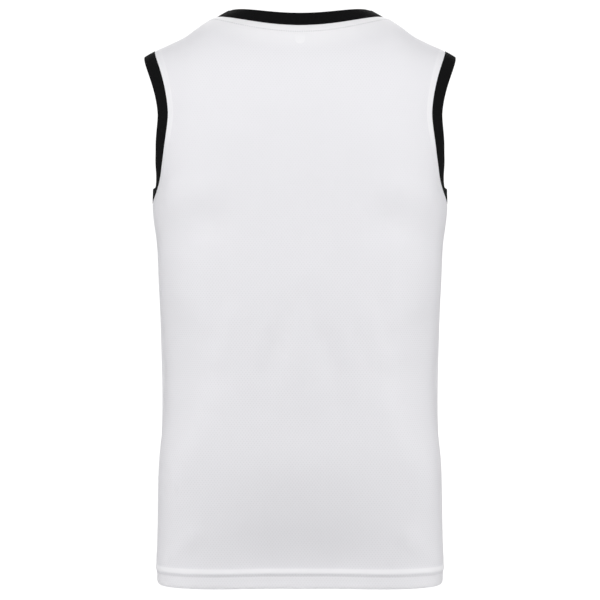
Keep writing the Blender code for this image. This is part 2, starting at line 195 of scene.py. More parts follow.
def row_at(side, v):
    """A level row of the body. v is 0 at the hem, 1 at the underarm, 2 at the blades and 3 at the top."""
    if v <= 1:
        height = HEM + (UNDERARM - HEM) * v
    elif v <= 2:
        height = BLADE - (BLADE - UNDERARM) * math.cos((v - 1) * math.pi / 2)
    else:
        height = BLADE + (SHOULDER_TIP - BLADE) * math.sin((v - 2) * math.pi / 2)
    columns = (side.depth, "squareness", "half_width")
    depth, n, half_width = (float(read_at(SECTIONS, "height", height, column)) for column in columns)
    cut = side.armhole_half_depth / depth * math.sin(min(max(v - 1, 0), 1) * math.pi / 2)
    reach = (1 - cut**n) ** (1 / n)
    edge = half_width * reach
    if v > 2:
        climb = (height - BLADE) / (SHOULDER_TIP - BLADE)
        edge += (SHOULDER_SEAM[-1].across - edge) * climb**ARMHOLE_FLARE
    half_width = edge / reach
    angles = np.linspace(0, math.pi / 2, ARC_STEPS)
    across = half_width * np.sin(angles) ** (2 / n)
    out = depth * np.abs(np.cos(angles)) ** (2 / n)
    length = np.concatenate(([0.0], np.cumsum(np.hypot(np.diff(across), np.diff(out)))))
    return Row(height, half_width, depth, n, reach, max(v - 2, 0), across, length)


def section_out(row, across):
    n = row.squareness
    return row.depth * np.maximum(0.0, 1 - (across / row.half_width) ** n) ** (1 / n)


def top_angle(side, across):
    """How far over the shoulder's rounding the panel's top edge lies: a right angle on the shoulder seam."""
    rise = (neck_height(side, across) - BLADE) / (ridge_height(across) - BLADE)
    return np.where(across < NECK_HALF_WIDTH, np.arcsin(np.clip(rise, 0, 1)), math.pi / 2)


def top_across(side, share):
    """How far across the top end of each column lies: evenly round the neck, then along the shoulder seam."""
    across = NECK_HALF_WIDTH * np.sin(np.linspace(0, math.pi / 2, ARC_STEPS))
    angle = top_angle(side, across)
    angle[-1] = math.pi / 2
    line = np.stack((across, section_out(row_at(side, 3), across) * np.cos(angle), neck_height(side, across)))
    length = np.concatenate(([0.0], np.cumsum(np.linalg.norm(np.diff(line), axis=0))))
    on_neck = np.interp(share / NECK_SHARE * length[-1], length, across)
    on_seam = (share - NECK_SHARE) / (1 - NECK_SHARE)
    beyond = NECK_HALF_WIDTH + (SHOULDER_SEAM[-1].across - NECK_HALF_WIDTH) * on_seam
    return np.where(share <= NECK_SHARE, on_neck, beyond)


def fold_rise(folds, across, height):
    """How far the folds lift the cloth, at many places at once."""
    rise = np.zeros_like(across)
    for fold in folds:
        run = np.array((fold.to_across - fold.from_across, fold.to_height - fold.from_height))
        x, z = across - fold.from_across, height - fold.from_height
        t = np.clip((x * run[0] + z * run[1]) / run.dot(run), 0, 1)
        rise += fold.rise * np.exp(-((x - run[0] * t) ** 2 + (z - run[1] * t) ** 2) / fold.breadth**2)
    return rise


def bell(place, middle, width):
    return np.exp(-(((place - middle) / width) ** 2))


Sheet = namedtuple("Sheet", "points normals weave from_opening from_neck hem_row underarm_row neck_columns")


def grid_normals(points, facing):
    """The way out at each point of a grid, from its neighbours along its rows and columns."""
    normals = np.cross(np.gradient(points, axis=0), np.gradient(points, axis=1)) * facing
    return normals / np.maximum(np.linalg.norm(normals, axis=2, keepdims=True), 1e-12)


def nearest_distance(points, line):
    """How far each point of a grid lies from a line of points."""
    gaps = [np.linalg.norm(row[:, None] - line[None], axis=2).min(axis=1) for row in points]
    return np.array(gaps)


def panel_rows():
    """Each row's depth inside the hem and its place v, with the numbers of the stitched and underarm rows."""
    turns = np.linspace(math.pi, 0, FOLD_ROWS)
    inside = [(HEM_FOLD, above) for above in HEM_INSIDE]
    fold = [(HEM_FOLD / 2 * (1 - math.cos(turn)), HEM_FOLD / 2 * (1 - math.sin(turn))) for turn in turns]
    outside = [(0.0, above) for above in HEM_OUTSIDE]
    outside += [(0.0, HEM_HEIGHT + step) for step in BELOW_STITCHES]
    hem_row = len(inside + fold + outside) - 1
    outside += [(0.0, HEM_HEIGHT + step) for step in ABOVE_STITCHES]
    length = UNDERARM - HEM
    stops = [(inward, above / length) for inward, above in inside + fold + outside]
    first = stops[-1][1]
    stops += [(0.0, first + (1 - first) * k / BODY_ROWS) for k in range(1, BODY_ROWS + 1)]
    underarm_row = len(stops) - 1
    stops += [(0.0, 1 + k / ARMHOLE_ROWS) for k in range(1, ARMHOLE_ROWS + 1)]
    near_top = [gap / TOP_LENGTH for gap in BELOW_TOP]
    stops += [(0.0, 2 + (1 - near_top[0]) * k / ARMHOLE_ROWS) for k in range(1, ARMHOLE_ROWS + 1)]
    stops += [(0.0, 3 - step) for step in near_top[1:]]
    return stops, hem_row, underarm_row


def panel_columns():
    """How far each column lies from the middle, from -1 at one side to 1 at the other."""
    half = list(np.linspace(0, 1 - BESIDE_SIDE[0] / HALF_LENGTH, HALF_COLUMNS))
    half += [1 - gap / HALF_LENGTH for gap in BESIDE_SIDE[1:]]
    return np.array([-share for share in half[:0:-1]] + half)


def hem_relief(across, deep, above):
    """How the sewn hem swells above its stitches, sinks along them and curls in at its fold."""
    ridge = HEM_RIDGE * bell(above, HEM_HEIGHT + HEM_RIDGE_ABOVE, HEM_RIDGE_WIDTH)
    ridge = ridge * (1 - HEM_RIDGE_LOSS * bell(deep, 0, HEM_RIDGE_LOSS_OVER))
    to_side = np.clip((across - HEM_GROOVE_LOSS_FROM) / HEM_GROOVE_LOSS_OVER, 0, 1)
    groove = HEM_GROOVE * bell(above, HEM_HEIGHT, HEM_GROOVE_WIDTH) * (1 - HEM_GROOVE_LOSS * to_side)
    return ridge - groove - HEM_CURL * np.maximum(0, 1 - above / HEM_CURL_HEIGHT) ** 2


def panel_sheet(side, folds, mirrored):
    """The grid of a body panel: from the hem's raw edge inside, round its fold and up to the top."""
    stops, hem_row, underarm_row = panel_rows()
    u = panel_columns()
    share = np.abs(u)
    top = top_across(side, share)
    blade_row = row_at(side, 2)
    points, weave = [], []
    for inward, v in stops:
        row = row_at(side, v)
        cut = np.interp(row.half_width * row.reach, row.arc_across, row.arc_length)
        place = share * row.arc_length[-1] - (row.arc_length[-1] - cut) * share**COLUMN_CROWDING
        start = np.interp(place, row.arc_length, row.arc_across)
        across = start + (top - start) * row.rounding**TOP_PULL
        out = section_out(row, across)
        angle = top_angle(side, top) * row.rounding
        height = np.full_like(across, row.height)
        if row.rounding > 0:
            height = BLADE + (ridge_height(across) - BLADE) * np.sin(angle)
        n = row.squareness
        sideways = (across / row.half_width) ** (n - 1) / row.half_width
        level = np.stack((sideways, (out / row.depth) ** (n - 1) / row.depth))
        level /= np.linalg.norm(level, axis=0)
        deep = out * np.cos(angle)
        rise = fold_rise(folds, across if mirrored else across * np.sign(u), height)
        rise = rise * (1 - bell(deep, 0, SEAM_EASE)) + hem_relief(across, deep, height - HEM) - inward
        x = across + level[0] * np.cos(angle) * rise
        y = np.maximum(deep + level[1] * np.cos(angle) * rise, 0)
        points.append(np.stack((x * np.sign(u), side.facing * y, height + np.sin(angle) * rise), axis=1))
        grain, up = row, np.full_like(across, row.height - HEM - 2 * inward)
        if row.rounding > 0:
            grain = blade_row
            radius = np.sqrt((out**2 + (ridge_height(across) - BLADE) ** 2) / 2)
            up = blade_row.height - HEM + angle * radius
        along_row = np.interp(across, grain.arc_across, grain.arc_length) * np.sign(u)
        weave.append(np.stack((along_row, up), axis=1))
    points = np.array(points)
    normals = grid_normals(points, side.facing)
    neck_columns = np.flatnonzero(share <= NECK_SHARE + 1e-9)
    armholes = np.concatenate((points[underarm_row:, 0], points[underarm_row:, -1]))
    from_neck = nearest_distance(points, points[-1, neck_columns])
    from_opening = np.minimum(from_neck - NECK_ALLOWANCE + ALLOWANCE, nearest_distance(points, armholes))
    lift = ALLOWANCE_LIFT * (1 - np.tanh((from_opening - ALLOWANCE) / ALLOWANCE_STEP)) / 2
    lift -= STITCH_SINK * bell(from_neck, NECK_ALLOWANCE, STITCH_SINK_WIDTH)
    lift -= SEAM_VALLEY * bell(points[..., 1], 0, SEAM_VALLEY_WIDTH)
    points += normals * lift[..., None]
    weave = np.array(weave)
    return Sheet(points, normals, weave, from_opening, from_neck, hem_row, underarm_row, neck_columns)


class Socket:
    """An output of a material's node, so that maths on it reads as maths."""

    def __init__(self, finish, output):
        self.finish = finish
        self.output = output

    def maths(self, operation, first, second):
        return self.finish.node("ShaderNodeMath", {"operation": operation}, {0: first, 1: second})

    def __add__(self, other):
        return self.maths("ADD", self, other)

    def __radd__(self, other):
        return self.maths("ADD", other, self)

    def __sub__(self, other):
        return self.maths("SUBTRACT", self, other)

    def __rsub__(self, other):
        return self.maths("SUBTRACT", other, self)

    def __mul__(self, other):
        return self.maths("MULTIPLY", self, other)

    def __rmul__(self, other):
        return self.maths("MULTIPLY", other, self)


class Finish:
    """A material while its nodes are added."""

    def __init__(self, name):
        self.material = bpy.data.materials.new(name)
        self.material.use_nodes = True
        self.nodes = self.material.node_tree.nodes
        self.links = self.material.node_tree.links
        self.shader = self.nodes["Principled BSDF"]

    def put(self, socket, value):
        if isinstance(value, Socket):
            self.links.new(value.output, socket)
        else:
            socket.default_value = value

    def node(self, kind, settings=None, inputs=None, output=0):
        node = self.nodes.new(kind)
        for name, value in (settings or {}).items():
            setattr(node, name, value)
        for key, value in (inputs or {}).items():
            self.put(node.inputs[key], value)
        return Socket(self, node.outputs[output])

    def part(self, vector, axis):
        return self.node("ShaderNodeSeparateXYZ", None, {0: vector}, axis)

    def wave(self, place, length):
        """A cosine with one crest to each length."""
        return self.node("ShaderNodeMath", {"operation": "COSINE"}, {0: place * (2 * math.pi / length)})

    def absolute(self, value):
        return self.node("ShaderNodeMath", {"operation": "ABSOLUTE"}, {0: value})

    def smooth(self, value, low, high):
        """0 below low, 1 above high and a soft step between them."""
        return self.node(
            "ShaderNodeMapRange",
            {"interpolation_type": "SMOOTHSTEP"},
            {"Value": value, "From Min": low, "From Max": high},
        )

    def mix(self, share, first, second):
        return self.node("ShaderNodeMix", {"data_type": "RGBA"}, {0: share, 6: first, 7: second}, 2)

    def surface(self, **inputs):
        for name, value in inputs.items():
            self.put(self.shader.inputs[name.replace("_", " ")], value)

    def relief(self, millimetres):
        """Raises the surface by a height in millimetres."""
        bump = self.node("ShaderNodeBump", None, {"Strength": 1.0, "Distance": 0.001, "Height": millimetres})
        self.surface(Normal=bump)


EYELET_ACROSS = 0.0039
EYELET_ALONG = 0.0052
EYELET_OPENS = (0.35, 0.95)  # on its wave, where it starts and where it is fully open
STRETCHED = (-0.420, -0.180)  # heights over which the cloth is drawn tighter across the back
STRETCH_LOSS = 0.6  # share of the eyelets' strength that goes there
EASED = (-0.120, -0.060)  # heights over which it eases again towards the shoulders
EASE_GAIN = 0.4
EYELET_SHARE = 0.5  # painted shade: how far an open eyelet's colour goes over to its grey, for the shade seen through it
EYELET_MOTTLE = 0.3  # and how much of that varies from place to place
DOUBLE_COVER = 0.6  # share of the eyelets' strength that a second layer hides
DOUBLE_EDGE = (ALLOWANCE - 0.0006, ALLOWANCE + 0.0004)
DOUBLE_SEEN = (-0.185, -0.150)  # heights over which the turned-under edge starts to show
DOUBLE_SHARE = 0.65
DOUBLE_FADE = (-0.110, -0.050)  # heights over which it shows less again
DOUBLE_FADE_SHARE = 0.35
NECK_PAINTED_LIGHT = 0.95  # painted light: how much whiter the flat cloth at the neck is painted, fading down from its stitches
NECK_PAINTED_LIGHT_ENDS = 0.050
HEM_SHARE = 0.3
HEM_EDGE = (HEM + HEM_HEIGHT - 0.001, HEM + HEM_HEIGHT + 0.001)
RIDGE_HIGHLIGHT = 0.95  # painted highlight: how much whiter the swell above the hem is painted
RIDGE_MIDDLE = HEM + HEM_HEIGHT + 0.0065
RIDGE_EDGE = (0.0015, 0.0045)
NECK_PITCH = 0.0029  # one stitch of the row round the neck
HOLE_SHARE = 0.25
HOLE_EDGE = (0.0004, 0.0016)  # how far from the row of stitches the painted shade of the drawn-in cloth reaches
WALE = 0.00065  # one column of knitted loops
COURSE = 0.00055  # one row of them
LOOP_RELIEF = 0.015  # in millimetres, as every relief
EYELET_RELIEF = 0.06
CLOTH_WHITE = (0.800, 0.795, 0.822, 1.0)
# Painted shade seen through the open eyelets
EYELET_SHADE = (0.70, 0.695, 0.72, 1.0)
# Whiter colour of cloth with a second layer behind it, also used as painted light at the neck and as the
# painted highlight above the hem
DOUBLE_LAYER_AND_PAINTED_LIGHT_WHITE = (0.88, 0.875, 0.895, 1.0)
# Painted shade along the neck's row of stitches
STITCH_SHADE = (0.55, 0.545, 0.56, 1.0)


def eyelet_mesh(name, patch=None):
    """White polyester knit with a lattice of small eyelets. patch is a finish's own change to its colour."""
    cloth = Finish(name)
    weave = cloth.node("ShaderNodeUVMap", {"uv_map": "weave"})
    across, along = cloth.part(weave, "X"), cloth.part(weave, "Y")
    place = cloth.node("ShaderNodeTexCoord", None, None, "Object")
    height = cloth.part(place, "Z")
    from_opening = cloth.node("ShaderNodeAttribute", {"attribute_name": "from_opening"}, None, "Fac")
    from_neck = cloth.node("ShaderNodeAttribute", {"attribute_name": "from_neck"}, None, "Fac")
    slack = 1 - STRETCH_LOSS * cloth.smooth(height, *STRETCHED) + EASE_GAIN * cloth.smooth(height, *EASED)
    cell = cloth.wave(across, EYELET_ACROSS) * cloth.wave(along, EYELET_ALONG)
    eyelet = cloth.smooth(cell, *EYELET_OPENS) * slack
    double = (1 - cloth.smooth(from_opening, *DOUBLE_EDGE)) * cloth.smooth(height, *DOUBLE_SEEN)
    mottle = cloth.node("ShaderNodeTexNoise", None, {"Vector": place, "Scale": 14.0, "Detail": 3.0})
    # Painted shade: the open eyelets are painted grey for the shade seen through them, less where a second
    # layer lies behind
    eyelet_shade_share = eyelet * (1 - DOUBLE_COVER * double) * (EYELET_SHARE + EYELET_MOTTLE * mottle)
    colour = cloth.mix(eyelet_shade_share, CLOTH_WHITE, EYELET_SHADE)
    double_share = double * (DOUBLE_SHARE - DOUBLE_FADE_SHARE * cloth.smooth(height, *DOUBLE_FADE))
    colour = cloth.mix(double_share, colour, DOUBLE_LAYER_AND_PAINTED_LIGHT_WHITE)
    # Painted light: the cloth below the neck's stitches is painted whiter, fading away downwards
    glow = NECK_PAINTED_LIGHT - NECK_PAINTED_LIGHT * cloth.smooth(from_neck, NECK_ALLOWANCE, NECK_PAINTED_LIGHT_ENDS)
    colour = cloth.mix(glow, colour, DOUBLE_LAYER_AND_PAINTED_LIGHT_WHITE)
    # Painted shade: a dotted grey along the neck's row of stitches, for the shade in its needle holes and in
    # the groove it draws in
    needle_hole_shade = HOLE_SHARE + HOLE_SHARE * cloth.wave(across, NECK_PITCH)
    off_stitches = cloth.absolute(from_neck - NECK_ALLOWANCE)
    colour = cloth.mix(needle_hole_shade - needle_hole_shade * cloth.smooth(off_stitches, *HOLE_EDGE), colour, STITCH_SHADE)
    hem = 1 - cloth.smooth(height, *HEM_EDGE)
    colour = cloth.mix(hem * HEM_SHARE, colour, DOUBLE_LAYER_AND_PAINTED_LIGHT_WHITE)
    # Painted highlight along the swell above the hem
    off_ridge = cloth.absolute(height - RIDGE_MIDDLE)
    colour = cloth.mix(RIDGE_HIGHLIGHT - RIDGE_HIGHLIGHT * cloth.smooth(off_ridge, *RIDGE_EDGE), colour, DOUBLE_LAYER_AND_PAINTED_LIGHT_WHITE)
    if patch:
        colour = patch(cloth, place, colour)
    loops = cloth.wave(across, WALE) + 0.5 * cloth.wave(along, COURSE)
    cloth.relief(LOOP_RELIEF * loops - EYELET_RELIEF * eyelet * (1 - 0.5 * double))
    cloth.surface(Base_Color=colour, Roughness=0.78 - 0.08 * double)
    cloth.surface(Specular_IOR_Level=0.25, Sheen_Weight=0.08, Sheen_Roughness=0.5)
    return cloth.material


PATCH_TOP = (-0.0310, -0.0270)
PATCH_ROUNDING = -0.0372  # height of the middle of its rounded end
PATCH_EDGE = (30.0, 46.0)  # its half width squared, in square millimetres
PATCH_SHARE = 0.9


def label_patch(cloth, place, colour):
    """The blank label inside shows through the mesh as a paler patch with a rounded lower end."""
    across, height = cloth.part(place, "X"), cloth.part(place, "Z")
    below = cloth.node("ShaderNodeMath", {"operation": "MINIMUM"}, {0: height - PATCH_ROUNDING, 1: 0.0})
    reach = (across * across + below * below) * 1e6
    inside = 1 - cloth.smooth(reach, *PATCH_EDGE)
    hanging = 1 - cloth.smooth(height, *PATCH_TOP)
    return cloth.mix(inside * hanging * PATCH_SHARE, colour, DOUBLE_LAYER_AND_PAINTED_LIGHT_WHITE)


def add_sheet(name, points, weave, material):
    """A mesh over a grid of points, with its weave's own coordinates, in metres, as its UV map."""
    rows, columns = points.shape[:2]
    index = np.arange(rows * columns).reshape(rows, columns)
    corners = (index[:-1, :-1], index[:-1, 1:], index[1:, 1:], index[1:, :-1])
    faces = np.stack(corners, axis=-1).reshape(-1, 4)
    mesh = bpy.data.meshes.new(name)
    mesh.from_pydata(points.reshape(-1, 3).tolist(), [], faces.tolist())
    mesh.materials.append(material)
    mesh.shade_smooth()
    layer = mesh.uv_layers.new(name="weave")
    layer.data.foreach_set("uv", weave.reshape(-1, 2)[faces.reshape(-1)].reshape(-1).astype(np.float32))
    thing = bpy.data.objects.new(name, mesh)
    bpy.context.scene.collection.objects.link(thing)
    return thing


def add_panel(name, side, sheet, material):
    """A body panel with its wall, facing outwards."""
    order = slice(None, None, -side.facing)
    panel = add_sheet(name, sheet.points[:, order], sheet.weave[:, order], material)
    for kind in ("from_opening", "from_neck"):
        gaps = getattr(sheet, kind)[:, order].reshape(-1).astype(np.float32)
        panel.data.attributes.new(kind, "FLOAT", "POINT").data.foreach_set("value", gaps)
    wall = panel.modifiers.new("wall", "SOLIDIFY")
    wall.thickness = CLOTH
    wall.offset = -1
    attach(panel, "root")
    return panel


back_sheet = panel_sheet(BACK, BACK_FOLDS, True)
back_panel = add_panel("back_panel", BACK, back_sheet, eyelet_mesh("back_eyelet_mesh", label_patch))
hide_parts("back")


# Front panel
# The same mesh and the same hem as the back, cut lower at the neck. It is overlocked to the back along both
# sides and over both shoulders.

FRONT = Side(-1, "front_depth", 0.078, 0.0950, 0.85)
FRONT_FOLDS = (
    Fold(0.000, -0.150, 0.004, -0.230, 0.035, -0.0030),  # hollow at the middle of the chest
    Fold(-0.168, -0.262, -0.100, -0.280, 0.026, -0.0030),  # creases under the armholes
    Fold(0.172, -0.258, 0.112, -0.270, 0.024, -0.0025),
    Fold(-0.125, -0.300, -0.112, -0.430, 0.020, 0.0030),  # upright folds beside the waist
    Fold(0.118, -0.290, 0.124, -0.410, 0.022, 0.0025),
    Fold(-0.090, -0.430, -0.150, -0.640, 0.018, 0.0035),  # long slanting folds from the waist to the hip
    Fold(0.098, -0.455, 0.158, -0.630, 0.019, 0.0030),
    Fold(0.020, -0.430, 0.048, -0.560, 0.020, -0.0030),  # troughs below the waist
    Fold(-0.034, -0.410, -0.040, -0.520, 0.017, -0.0025),
    Fold(-0.060, -0.690, 0.070, -0.680, 0.028, -0.0025),  # hollow above the hem
)

front_sheet = panel_sheet(FRONT, FRONT_FOLDS, False)
front_panel = add_panel("front_panel", FRONT, front_sheet, eyelet_mesh("front_eyelet_mesh"))
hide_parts("front")


# Neckband
# Black rib knit, cut as a strip, folded double and sewn into a ring that is a little shorter than the neck
# edge, then overlocked to it. It stands up at the nape and lies flat on the chest.

BAND_CLOTH = 0.0022
BAND_PROUD = 0.0004
BAND_TUCK = 0.0012  # how deep the sewn edge lies below the cloth
NECKBAND_WIDTH = 0.0185
BAND_LAP = 0.0010  # how far the rib's seam laps over the cloth's edge
NECKBAND_LIFT_BACK = 0.85
NECKBAND_LIFT_SIDE = 0.28
BAND_EDGE = 0.0014  # how far the raw edge runs on under the panel
BAND_CROWN = 0.0002
RIB = 0.0016
RIB_LOOP = 0.0009
RIB_ZIGZAG = 1.6
RIB_RELIEF = 0.20
RIB_LOOP_RELIEF = 0.05
FUZZ_RELIEF = 0.05
NORMAL_REACH = 12  # stations on each side over which the way out is evened
RIB_BLACK = (0.0018, 0.0018, 0.0020, 1.0)
# Lighter black painted on the rib's crests and at random with the fuzz
RIB_CREST_LIGHT_AND_FUZZ = (0.0070, 0.0070, 0.0076, 1.0)


def opening_ring(one, other, part):
    """The two panels' edges round an opening as one closed ring of evenly spaced points and normals."""
    edges = [(part(sheet, sheet.points), part(sheet, sheet.normals)) for sheet in (one, other)]
    first, second = (np.concatenate(edge, axis=1) for edge in edges)
    start, end = (first[0] + second[0]) / 2, (first[-1] + second[-1]) / 2
    ring = np.concatenate((start[None], first[1:-1], end[None], second[-2:0:-1], start[None]))
    length = np.concatenate(([0.0], np.cumsum(np.linalg.norm(np.diff(ring[:, :3], axis=0), axis=1))))
    count = round(length[-1] / (RIB / 2))
    stations = np.arange(count) * length[-1] / count
    even = np.stack([np.interp(stations, length, column) for column in ring.T], axis=1)
    normals = sum(np.roll(even[:, 3:], step, axis=0) for step in range(-NORMAL_REACH, NORMAL_REACH + 1))
    return even[:, :3], normals / np.linalg.norm(normals, axis=1, keepdims=True), length[-1]


def band_section(width):
    """The folded rib's outline, from its sewn edge over the top to its rounded fold and back underneath."""
    top, bottom, radius = BAND_PROUD, BAND_PROUD - BAND_CLOTH, BAND_CLOTH / 2
    section = [(-BAND_LAP - BAND_EDGE, -BAND_TUCK), (-BAND_LAP, -0.0002)]
    section += [(-BAND_LAP + 0.0006, 0.0004), (0.0018, top)]
    for share in (0.2, 0.35, 0.5, 0.65, 0.8):
        section.append((width * share, top + BAND_CROWN * math.sin(share * math.pi)))
    for angle in np.linspace(math.pi / 2, -math.pi / 2, 9):
        section.append((width - radius + radius * math.cos(angle), top - radius + radius * math.sin(angle)))
    section += [(width * share, bottom) for share in (0.75, 0.5, 0.25, 0.1)]
    return np.array(section + [(0.0, bottom), (-BAND_LAP - BAND_EDGE, bottom)])


def rib_knit(name):
    """Black rib: rows of ridges across the band, with small loops along each."""
    rib = Finish(name)
    weave = rib.node("ShaderNodeUVMap", {"uv_map": "weave"})
    along, across = rib.part(weave, "X"), rib.part(weave, "Y")
    place = rib.node("ShaderNodeTexCoord", None, None, "Object")
    ridge = rib.wave(along, RIB)
    shift = RIB_ZIGZAG * RIB_LOOP / (2 * math.pi)
    loops = rib.wave(across + shift * rib.wave(along, RIB / 2), RIB_LOOP)
    fuzz = rib.node("ShaderNodeTexNoise", None, {"Vector": place, "Scale": 900.0, "Detail": 3.0})
    # Painted light and shade: the crests of the ribs and loops are painted lighter than the hollows between
    # them, and the fuzz lightens fibres at random
    crest_light_and_fuzz = rib.smooth(0.5 + 0.25 * ridge + 0.12 * loops + 0.5 * (fuzz - 0.5), 0.2, 0.9)
    rib.relief(RIB_RELIEF * ridge + RIB_LOOP_RELIEF * loops + FUZZ_RELIEF * fuzz)
    rib.surface(Base_Color=rib.mix(crest_light_and_fuzz, RIB_BLACK, RIB_CREST_LIGHT_AND_FUZZ), Roughness=0.95 - 0.1 * crest_light_and_fuzz)
    rib.surface(Specular_IOR_Level=0.10, Sheen_Weight=0.0)
    return rib.material


def band_grid(ring, normals, length, width, lift):
    """A folded band that goes on from the panels' edges towards the middle of the opening."""
    run = np.roll(ring, -1, axis=0) - np.roll(ring, 1, axis=0)
    run /= np.linalg.norm(run, axis=1, keepdims=True)
    reach = np.cross(run, normals)
    reach /= np.linalg.norm(reach, axis=1, keepdims=True)
    inward = ring.mean(axis=0) - ring
    reach *= np.sign((reach * inward).sum(axis=1, keepdims=True))
    reach[:, 2] += lift(ring)
    reach -= run * (reach * run).sum(axis=1, keepdims=True)
    reach /= np.linalg.norm(reach, axis=1, keepdims=True)
    up = np.cross(reach, run)
    up *= np.sign((up * normals).sum(axis=1, keepdims=True))
    section = np.stack([band_section(here) for here in width(ring)], axis=1)
    section = np.concatenate((section, section[:1]))
    points = ring + reach * section[..., :1] + up * section[..., 1:]
    across = np.cumsum(np.linalg.norm(np.diff(section, axis=0, prepend=section[:1]), axis=2), axis=0)
    along = np.arange(len(ring)) * length / len(ring)
    return points, np.stack(np.broadcast_arrays(along, across), axis=-1)


def close_band(name, points, weave, length, material):
    """The band's mesh, closed round its ring and round its section."""
    sections, stations = len(points) - 1, points.shape[1]
    index = np.arange(sections * stations).reshape(sections, stations)
    here, after = np.arange(stations), (np.arange(stations) + 1) % stations
    low, high = index, np.roll(index, -1, axis=0)
    faces = np.stack((low[:, here], low[:, after], high[:, after], high[:, here]), axis=-1).reshape(-1, 4)
    mesh = bpy.data.meshes.new(name)
    mesh.from_pydata(points[:-1].reshape(-1, 3).tolist(), [], faces.tolist())
    mesh.materials.append(material)
    mesh.shade_smooth()
    ends = np.concatenate((weave, weave[:, :1] + [length, 0]), axis=1)
    k, j = np.meshgrid(np.arange(sections), np.arange(stations), indexing="ij")
    corners = np.stack((ends[k, j], ends[k, j + 1], ends[k + 1, j + 1], ends[k + 1, j]), axis=2)
    mesh.uv_layers.new(name="weave").data.foreach_set("uv", corners.reshape(-1).astype(np.float32))
    solid = bmesh.new()
    solid.from_mesh(mesh)
    bmesh.ops.recalc_face_normals(solid, faces=solid.faces)
    solid.to_mesh(mesh)
    solid.free()
    band = bpy.data.objects.new(name, mesh)
    bpy.context.scene.collection.objects.link(band)
    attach(band, "root")
    return band


def neck_part(sheet, grid):
    return grid[-1, sheet.neck_columns]


def neckband_width(ring):
    return np.full(len(ring), NECKBAND_WIDTH)


def neckband_lift(ring):
    out = ring[:, 1]
    back = NECKBAND_LIFT_SIDE + (NECKBAND_LIFT_BACK - NECKBAND_LIFT_SIDE) * (out / out.max()) ** 2
    front = NECKBAND_LIFT_SIDE * (1 - (out / out.min()) ** 2)
    return np.where(out > 0, back, front)


rib_finish = rib_knit("black_rib_knit")
neck_ring, neck_normals, neck_length = opening_ring(back_sheet, front_sheet, neck_part)
shape = band_grid(neck_ring, neck_normals, neck_length, neckband_width, neckband_lift)
neckband = close_band("neckband_rib", *shape, neck_length, rib_finish)
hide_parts("neckband")


# Armbands
# The same rib, folded double and overlocked to each armhole. At the end of the shoulder nothing holds a band
# up, so it turns down.

ARMBAND_WIDTH = 0.0190
ARMBAND_DROOP = 0.05
ARMBAND_NARROWING = 0.20  # share of its width that it loses at the shoulder, where it is stretched most


def shoulder_share(ring):
    """How near each point is to the end of the shoulder: 1 there, and 0 from the blades down."""
    return np.maximum(0, (ring[:, 2] - BLADE) / (SHOULDER_TIP - BLADE)) ** 3


def armband_lift(ring):
    return -ARMBAND_DROOP * shoulder_share(ring)


def armband_width(ring):
    return ARMBAND_WIDTH * (1 - ARMBAND_NARROWING * shoulder_share(ring))


def left_armhole_part(sheet, grid):
    return grid[sheet.underarm_row :, -1]


def right_armhole_part(sheet, grid):
    return grid[sheet.underarm_row :, 0]


for hand, armhole_part in (("left", left_armhole_part), ("right", right_armhole_part)):
    ring, normals, length = opening_ring(back_sheet, front_sheet, armhole_part)
    shape = band_grid(ring, normals, length, armband_width, armband_lift)
    armband = close_band(f"armband_{hand}_rib", *shape, length, rib_finish)
    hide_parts(f"armband_{hand}")


# Neck label
# A short plain ribbon of white satin with woven edges and a rounded lower end. It is caught in the neck seam,
# so that it hangs inside the back of the neck.

LABEL_WIDTH = 0.0125
LABEL_CLOTH = 0.0004
LABEL_GAP = 0.0003
LABEL_ROWS = 15
LABEL_COLUMNS = 9
LABEL_CROWDING = 1.5  # how much closer its rows lie at the lower end
LABEL_END = 0.35  # share of its width that is left at the very end
SATIN_FLOAT = 0.0005
SATIN_RELIEF = 0.02
SELVEDGE = (0.0050, 0.0056)  # across from the middle, where the woven edge starts
SELVEDGE_RELIEF = 0.06
SATIN_WHITE = (0.90, 0.90, 0.91, 1.0)
SATIN_SHADE = (0.80, 0.80, 0.82, 1.0)


def satin(name):
    """White satin: long fine floats on the slant, with a soft shine."""
    ribbon = Finish(name)
    weave = ribbon.node("ShaderNodeUVMap", {"uv_map": "weave"})
    across, along = ribbon.part(weave, "X"), ribbon.part(weave, "Y")
    floats = ribbon.wave(across + along * 2, SATIN_FLOAT)
    selvedge = ribbon.smooth(ribbon.absolute(across), *SELVEDGE)
    ribbon.relief(SATIN_RELIEF * floats + SELVEDGE_RELIEF * selvedge)
    colour = ribbon.mix(0.25 * floats + 0.5 * selvedge + 0.25, SATIN_WHITE, SATIN_SHADE)
    ribbon.surface(Base_Color=colour, Roughness=0.42 + 0.2 * selvedge, Specular_IOR_Level=0.5)
    return ribbon.material


low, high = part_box("neck_label")
bpy.context.view_layer.update()
back_wall = BVHTree.FromObject(back_panel, bpy.context.evaluated_depsgraph_get())
points, weave = [], []
for climb in np.linspace(0, 1, LABEL_ROWS) ** LABEL_CROWDING:
    height = low[2] + (high[2] - low[2]) * climb
    narrowed = math.sqrt(max(0.0, 1 - (1 - min(1.0, (height - low[2]) / (LABEL_WIDTH / 2))) ** 2))
    row = []
    for share in np.linspace(1, -1, LABEL_COLUMNS):
        across = share * LABEL_WIDTH / 2 * max(narrowed, LABEL_END)
        hit = back_wall.ray_cast(Vector((across, 0, height)), Vector((0, 1, 0)))[0]
        row.append((across, hit.y - LABEL_GAP, height))
        weave.append((across, height))
    points.append(row)
points = np.array(points)
weave = np.array(weave).reshape(LABEL_ROWS, LABEL_COLUMNS, 2)
label = add_sheet("neck_label_satin", points, weave, satin("white_satin"))
wall = label.modifiers.new("wall", "SOLIDIFY")
wall.thickness = LABEL_CLOTH
wall.offset = 1
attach(label, "root")
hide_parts("neck_label")


